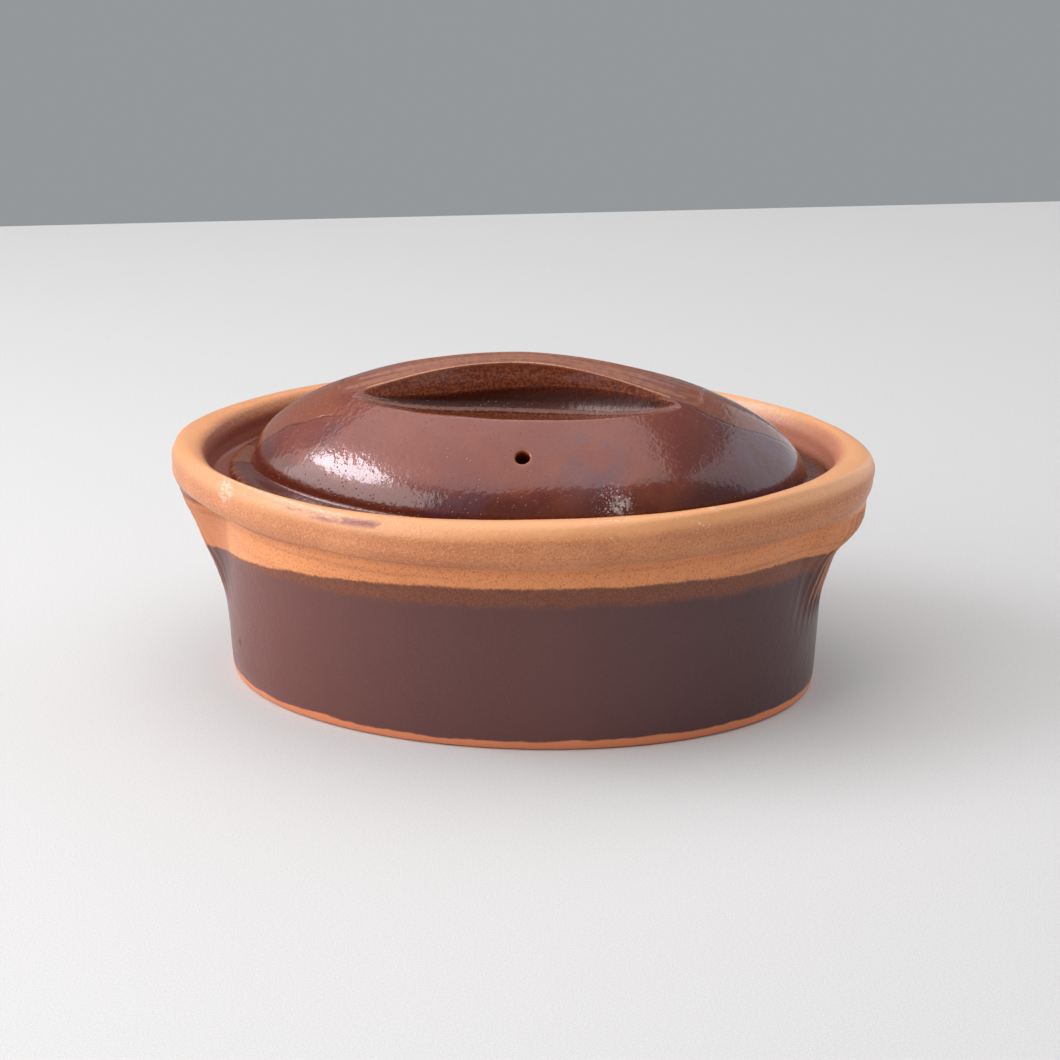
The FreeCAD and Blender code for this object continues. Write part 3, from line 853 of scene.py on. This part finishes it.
def dish_material():
    m = Material("dish_stoneware")
    x, z = m.axis("X"), m.axis("Z")
    from_crown = m.attribute("from_crown")
    outside = m.ramp(from_crown, -0.002, 0.004, 1.0, 0.0)
    broad = m.noise(28.0, 3.0)
    cloud = m.noise(90.0, 4.0, 0.6)
    grain = m.noise(1500.0, 2.0, 0.7)
    streak = m.noise(60.0, 4.0, 0.6, m.stretched(0.25, 0.25, 5.0))
    mottle = m.plus(m.times(cloud, 0.5), m.times(broad, 0.5))
    tan = m.blend(m.ramp(mottle, 0.40, 0.68, 0.0, 0.6), TAN, TAN_LIGHT)
    # painted light: the wall below the band gets a lighter tan to lift the shade under the band's overhang
    tan = m.blend(m.ramp(from_crown, -0.021, -0.017, 0.65, 0.0), tan, TAN_WALL_PAINTED_LIGHT)
    tan = m.blend(m.ramp(streak, 0.50, 0.75, 0.0, 0.60), tan, TAN_DEEP)
    tan = m.blend(m.ramp(grain, 0.54, 0.66, 0.0, 0.75), tan, TAN_LIGHT)
    tan = m.blend(m.ramp(grain, 0.36, 0.46, 0.75, 0.0), tan, TAN_DEEP)
    tan = m.blend(m.ramp(m.cells(620.0), 0.08, 0.20, 0.5, 0.0), tan, TAN_DEEP)
    # painted shade: the left lug's flank is darker where it stands out from the wall
    lug_shade = m.times(m.ramp(x, *LUG_SHADE_EDGE, 0.6, 0.0), m.ramp(from_crown, -0.022, -0.018, 1.0, 0.0))
    tan = m.blend(lug_shade, tan, TAN_DEEP)
    # painted shade mixed with iron red in the fold under the band, iron along the crown's front, and a pink
    # flush inside the right end
    fold = m.ramp(m.attribute("band_fold"), 0.25, 0.9)
    under_band = m.ramp(m.size_of(m.plus(from_crown, BAND_BOTTOM)), 0.0003, 0.0014, 1.0, 0.0)
    left_end = m.ramp(x, -0.105, -0.050, 0.8, 0.1)
    tan = m.blend(m.times(m.larger(fold, under_band), left_end), tan, IRON_AND_SHADE)
    on_crown = m.ramp(m.size_of(m.plus(from_crown, 0.001)), 0.004, 0.009, 0.8, 0.0)
    tan = m.blend(m.times(on_crown, m.ramp(x, -0.08, 0.02, 0.6, 1.0)), tan, TAN_CROWN)
    below_crown = m.size_of(m.plus(from_crown, STAIN_LINE))
    smear = m.noise(130.0, 4.0, 0.7, m.stretched(0.35, 0.35, 1.0))
    stain = m.times(m.ramp(below_crown, 0.0002, 0.0022, 1.0, 0.0), m.ramp(smear, 0.44, 0.60))
    stain = m.times(stain, m.times(m.ramp(x, -0.085, -0.070), m.ramp(x, -0.035, -0.020, 1.0, 0.0)))
    tan = m.blend(m.times(stain, 0.9), tan, IRON_AND_SHADE)
    flush = m.times(m.ramp(from_crown, 0.003, 0.009), m.ramp(x, 0.02, 0.08, 0.0, 0.7))
    tan = m.blend(flush, tan, TAN_PINK)
    # the dip line hangs lower towards the ends; below it is the umber where two glazes overlap
    line = m.math("MULTIPLY_ADD", x, *DIP_LINE[:2])
    for term in DIP_LINE[2:]:
        line = m.math("MULTIPLY_ADD", x, line, term)
    ragged = m.wander(m.noise(900.0, 4.0, 0.8), 0.0022)
    waver = m.wander(m.noise(60.0, 2.0), 0.0018)
    below = m.minus(m.plus(m.plus(line, ragged), waver), z)
    dipped = m.ramp(below, -0.0004, 0.0007)
    umber = m.blend(m.ramp(grain, 0.42, 0.62), UMBER, UMBER_LIGHT)
    lower = m.plus(below, m.wander(m.noise(160.0, 3.0), 0.003))
    # painted light and shade: the wall's glaze is lighter on the left, where the lamps are, and darker on the
    # right
    glaze = m.blend(m.ramp(x, -0.10, -0.01), WALL_LIT_LEFT, WALL_GLAZE)
    glaze = m.blend(m.ramp(x, 0.01, 0.10), glaze, WALL_SHADED_RIGHT)
    glaze = m.blend(m.ramp(grain, 0.56, 0.72, 0.0, 0.30), glaze, UMBER_LIGHT)
    overlap = m.minus(lower, m.ramp(x, -0.105, -0.020, 0.0005, 0.0050))
    glaze = m.blend(m.ramp(overlap, 0.0, 0.0034), umber, glaze)
    # the painted shade on the left lug's flank carries into the glaze, in the wall's darker right-hand colour
    glaze = m.blend(m.times(lug_shade, m.ramp(z, 0.030, 0.045)), glaze, WALL_SHADED_RIGHT)
    colour = m.blend(dipped, tan, glaze)
    # bare clay along the foot
    foot_edge = m.plus(0.0036, m.wander(m.noise(42.0, 4.0, 0.6), 0.0048))
    bare = m.ramp(m.minus(foot_edge, z), -0.0003, 0.0005)
    colour = m.blend(bare, colour, m.blend(m.ramp(grain, 0.4, 0.7), TERRACOTTA, TERRACOTTA_LIGHT))
    # brown glaze inside, with a soft edge that runs much lower to the right
    edge = m.plus(0.0085, m.ramp(x, -0.03, 0.06, 0.0, 0.0105))
    fuzz = m.wander(m.noise(500.0, 4.0, 0.8), 0.0045)
    inner = m.ramp(m.minus(m.plus(from_crown, fuzz), edge), -0.0025, 0.0025)
    colour = m.blend(inner, colour, m.blend(m.ramp(grain, 0.45, 0.7), INSIDE_GLAZE, INSIDE_LIGHT))
    # thin glaze on the flutes' crests, dark glaze between them
    crest = m.attribute("flute_crest")
    hollow = m.times(m.attribute("flute_hollow"), m.ramp(dipped, 0.0, 1.0, 0.30, 0.75))
    colour = m.blend(m.times(hollow, outside), colour, UMBER)
    colour = m.blend(m.times(m.ramp(crest, 0.35, 0.85, 0.0, 0.75), outside), colour, FLUTE_CREST)
    # chalky wear on the crown
    worn = m.noise(700.0, 4.0, 0.8, m.stretched(0.45, 1.0, 1.6))
    scuffs = m.times(m.spot(*WORN_CROWN), m.ramp(worn, 0.44, 0.62))
    colour = m.blend(m.times(scuffs, 0.65), colour, WEAR_AND_GLINT)
    scratches = m.ramp(m.noise(420.0, 3.0, 0.8, m.stretched(0.35, 1.4, 1.4)), 0.60, 0.66)
    scratched = m.spots(*SCRATCHES)
    colour = m.blend(m.times(m.times(scratches, scratched), 0.8), colour, WEAR_AND_GLINT)
    chip = m.spot(*CHIP)
    colour = m.blend(m.times(chip, 0.9), colour, LID_DARK_AND_SHADE)
    m.put(m.shader.inputs["Base Color"], colour)
    glazed = m.larger(dipped, inner)
    clay = m.ramp(m.size_of(from_crown), 0.003, 0.008, 0.33, 0.46)
    rough = m.plus(m.blend_value(glazed, clay, 0.38), m.wander(cloud, 0.20))
    m.put(m.shader.inputs["Roughness"], m.larger(rough, m.times(bare, 0.85)))
    height = m.plus(m.times(m.noise(420.0, 3.0, 0.6), 0.6), m.times(grain, 0.5))
    relief = m.bump(m.minus(height, chip), strength=0.38, distance=0.0007)
    m.glossy(relief, refraction=1.40, coat=0.35, coat_roughness=0.14, coat_refraction=1.5)
    return m.material


def lid_material():
    m = Material("lid_glaze")
    x, z = m.axis("X"), m.axis("Z")
    broad = m.noise(24.0, 3.0)
    cloud = m.noise(75.0, 4.0, 0.6)
    grain = m.noise(1300.0, 2.0, 0.7)
    colour = m.blend(m.ramp(cloud, 0.38, 0.72, 0.0, 0.6), LID_GLAZE, LID_RED)
    waved = m.plus(z, m.wander(cloud, 0.010))
    colour = m.blend(m.ramp(waved, 0.083, 0.092, 0.9, 0.0), colour, LID_LOW)
    # painted shade: the lid is darker low on the right, away from the lamps
    right_shade = m.times(m.ramp(x, 0.040, 0.085, 0.0, 0.9), m.ramp(z, 0.100, 0.112, 1.0, 0.0))
    colour = m.blend(right_shade, colour, LID_SHADED_RIGHT)
    blue = m.spots(*BLUE_PATCHES)
    blue = m.times(blue, m.ramp(m.noise(110.0, 3.0), 0.36, 0.60))
    blue = m.larger(m.ramp(broad, 0.58, 0.74, 0.0, 0.5), m.times(blue, 0.65))
    colour = m.blend(blue, colour, LID_BLUE)
    glow = m.spots(*RED_PATCHES)
    colour = m.blend(m.times(glow, m.ramp(m.noise(90.0, 3.0), 0.40, 0.62, 0.0, 0.30)), colour, LID_BREAK)
    colour = m.blend(m.ramp(grain, 0.58, 0.74, 0.0, 0.35), colour, LID_BREAK)
    # the pockets: speckled above; painted shade darkens the pockets and, darker still, the undercut
    pocket = m.attribute("pocket")
    speckled = m.ramp(m.noise(1000.0, 3.0, 0.8), 0.45, 0.58, 0.0, 0.75)
    colour = m.blend(m.times(pocket, 0.75), colour, LID_LOW)
    colour = m.blend(m.times(pocket, speckled), colour, LID_BREAK)
    colour = m.blend(m.times(m.attribute("undercut"), 0.95), colour, LID_DARK_AND_SHADE)
    # the ridge and its keel, marked off by a thin ragged line
    ridge = m.times(m.attribute("ridge_top"), m.ramp(m.noise(500.0, 3.0), 0.35, 0.65, 0.3, 0.8))
    colour = m.blend(ridge, colour, RIDGE_BROWN)
    keel = m.attribute("keel")
    beside = m.size_of(m.plus(keel, m.wander(m.noise(420.0, 3.0, 0.7), 0.0016)))
    past_pocket = m.times(m.ramp(m.size_of(m.plus(x, 0.001)), 0.056, 0.066), m.attribute("outside"))
    keel_line = m.times(m.ramp(beside, 0.0002, 0.0008, 1.0, 0.0), past_pocket)
    colour = m.blend(m.times(keel_line, 0.5), colour, LID_DARK_AND_SHADE)
    on_keel = m.times(m.ramp(keel, 0.0, 0.0012), m.times(past_pocket, 0.35))
    colour = m.blend(on_keel, colour, RIDGE_BROWN)
    # the glaze breaks pale on edges, with a painted highlight along the pockets' rims and the fold's lip
    rims = m.larger(m.attribute("pocket_rim"), m.times(m.attribute("fold_lip"), 0.55))
    glint = m.ramp(m.times(rims, m.ramp(grain, 0.3, 0.6, 0.7, 1.2)), 0.40, 1.05, 0.0, 0.60)
    colour = m.blend(glint, colour, EDGE_GLINT)
    broken = m.times(m.attribute("flange_rim"), m.ramp(m.noise(260.0, 4.0, 0.8), 0.44, 0.58))
    colour = m.blend(m.times(broken, m.ramp(x, -0.06, 0.02, 0.9, 0.35)), colour, LID_BREAK)
    colour = m.blend(m.ramp(m.attribute("vent"), 0.5, 0.95, 0.0, 0.55), colour, LID_BREAK)
    # a painted glint low on the right, with chalky specks scattered round it
    core = m.times(m.spot(*GLINT_SPOT), m.ramp(m.noise(600.0, 3.0, 0.7), 0.38, 0.66))
    loose = m.times(m.spot(*SPECK_SPREAD), m.ramp(m.noise(1500.0, 2.0, 0.7), 0.56, 0.66))
    colour = m.blend(m.times(m.larger(core, loose), 0.7), colour, WEAR_AND_GLINT)
    m.put(m.shader.inputs["Base Color"], colour)
    rough = m.plus(0.27, m.wander(cloud, 0.12))
    m.put(m.shader.inputs["Roughness"], m.plus(rough, m.times(m.attribute("ridge_top"), 0.2)))
    # pinholes and orange peel, thickest low on the left of the dome
    pit = m.ramp(m.cells(560.0), 0.05, 0.19, 1.0, 0.0)
    where = m.times(m.ramp(x, -0.030, 0.030, 1.0, 0.25), m.ramp(m.noise(60.0, 2.0), 0.36, 0.56, 0.25, 1.0))
    peel = m.times(m.noise(520.0, 2.0, 0.5), m.ramp(x, -0.04, 0.05, 0.42, 0.30))
    height = m.minus(peel, m.times(m.times(pit, where), 0.85))
    height = m.minus(height, m.times(keel_line, 0.2))
    relief = m.bump(height, strength=0.45, distance=0.0007)
    coat = m.ramp(z, 0.0765, 0.0785, 0.5, 1.0)
    m.glossy(relief, refraction=1.46, coat=coat, coat_roughness=0.08, coat_refraction=1.40)
    m.shader.inputs["Specular Tint"].default_value = LID_SHEEN
    return m.material


dish.data.materials.append(dish_material())
lid.data.materials.append(lid_material())


# ---------------------------------------------------------------- floor, light and camera

CAMERA_PLACE = (0.1244, -0.8452, 0.3853)
CAMERA_HEADING = math.radians(8.12)
CAMERA_DIP = math.radians(21.25)
CAMERA_ROLL = math.radians(-0.44)
CAMERA_LENS = 87.55

# Table top: metres to the side, towards the viewer and away; its far edge is turned from square to the view
TABLE_SIDE = 0.95
TABLE_NEAR = 0.95
TABLE_FAR = 0.66
TABLE_THICKNESS = 0.03
TABLE_TURN = math.radians(3.7)

# Windows and reflectors stand square to the view: metres to the right (or left, below 0), from near to far,
# from low to high, then radiance and colour
SIDE_LIGHTS = {
    "window_left": (-1.00, (-1.28, 0.50), (0.0, 1.10), 1.30, (1.0, 0.985, 0.965)),
    "window_left_core": (-0.98, (-1.10, 0.20), (0.25, 1.05), 2.3, (0.95, 0.97, 1.0)),
    "window_left_glint": (-0.96, (-0.35, 0.25), (0.76, 1.05), 14.0, (0.80, 0.88, 1.0)),
    "reflector_right": (1.20, (-0.45, 2.00), (0.0, 1.75), 1.20, (0.90, 0.93, 1.0)),
}
# Ceiling panel: height, middle, size, turn and radiance
TOP_HEIGHT = 1.35
TOP_MIDDLE = (-0.42, 0.00)
TOP_SIZE = (1.85, 1.95)
TOP_TURN = math.radians(22.0)
TOP_RADIANCE = 1.62
TOP_COLOUR = (1.0, 0.99, 0.98)
TABLE_STONE = (shade(0.515, 0.498, 0.486), shade(0.600, 0.580, 0.567))
BACKDROP = shade(0.300, 0.314, 0.327)


def make_floor(low):
    """Pale table top, level with the foot."""
    mesh = bpy.data.meshes.new("table_top")
    form = bmesh.new()
    near = [(-TABLE_SIDE, -TABLE_NEAR), (TABLE_SIDE, -TABLE_NEAR)]
    corners = near + [(TABLE_SIDE, TABLE_FAR), (-TABLE_SIDE, TABLE_FAR)]
    top = form.faces.new([form.verts.new((x, y, low)) for x, y in corners])
    lowered = bmesh.ops.extrude_face_region(form, geom=[top])["geom"]
    moved = [part for part in lowered if isinstance(part, bmesh.types.BMVert)]
    bmesh.ops.translate(form, verts=moved, vec=(0.0, 0.0, -TABLE_THICKNESS))
    bmesh.ops.recalc_face_normals(form, faces=form.faces)
    form.to_mesh(mesh)
    form.free()
    floor = bpy.data.objects.new("table_top", mesh)
    floor.rotation_euler = (0.0, 0.0, CAMERA_HEADING + TABLE_TURN)
    bpy.context.scene.collection.objects.link(floor)
    m = Material("table_stone")
    grain = m.noise(1600.0, 3.0, 0.8)
    pale = m.blend(m.ramp(grain, 0.35, 0.65), *TABLE_STONE)
    m.put(m.shader.inputs["Base Color"], pale)
    m.shader.inputs["Roughness"].default_value = 0.75
    mesh.materials.append(m.material)


def make_light(name, place, facing, size, radiance, colour, turn=0.0):
    """Rectangular soft light of an even radiance, turned with the camera's heading."""
    data = bpy.data.lights.new(name, "AREA")
    data.shape = "RECTANGLE"
    data.size, data.size_y = size
    data.energy = radiance * math.pi * size[0] * size[1]
    data.color = colour
    light = bpy.data.objects.new(name, data)
    heading = Matrix.Rotation(CAMERA_HEADING, 4, "Z")
    aim = Vector(facing).to_track_quat("-Z", "Y").to_matrix().to_4x4()
    light.matrix_world = heading @ Matrix.Translation(place) @ Matrix.Rotation(turn, 4, "Z") @ aim
    light.visible_camera = False
    bpy.context.scene.collection.objects.link(light)


make_floor(cad_box[0][2])
for name, (side, (near, far), (bottom, top), radiance, colour) in SIDE_LIGHTS.items():
    middle = (side, 0.5 * (near + far), 0.5 * (bottom + top))
    make_light(name, middle, (-side, 0.0, 0.0), (far - near, top - bottom), radiance, colour)
overhead = (*TOP_MIDDLE, TOP_HEIGHT)
make_light("ceiling", overhead, (0.0, 0.0, -1.0), TOP_SIZE, TOP_RADIANCE, TOP_COLOUR, TOP_TURN)

world = bpy.data.worlds.new("studio")
world.use_nodes = True
backdrop = world.node_tree.nodes["Background"]
backdrop.inputs["Color"].default_value = BACKDROP
backdrop.inputs["Strength"].default_value = 1.0
bpy.context.scene.world = world
bpy.context.scene.view_settings.view_transform = "Standard"

camera_data = bpy.data.cameras.new("camera")
camera_data.lens = CAMERA_LENS
camera_data.sensor_width = 36.0
camera_data.clip_start = 0.01
camera = bpy.data.objects.new("camera", camera_data)
turned = Matrix.Rotation(CAMERA_HEADING, 4, "Z") @ Matrix.Rotation(0.5 * math.pi - CAMERA_DIP, 4, "X")
camera.matrix_world = Matrix.Translation(CAMERA_PLACE) @ turned @ Matrix.Rotation(CAMERA_ROLL, 4, "Z")
bpy.context.scene.collection.objects.link(camera)
bpy.context.scene.camera = camera
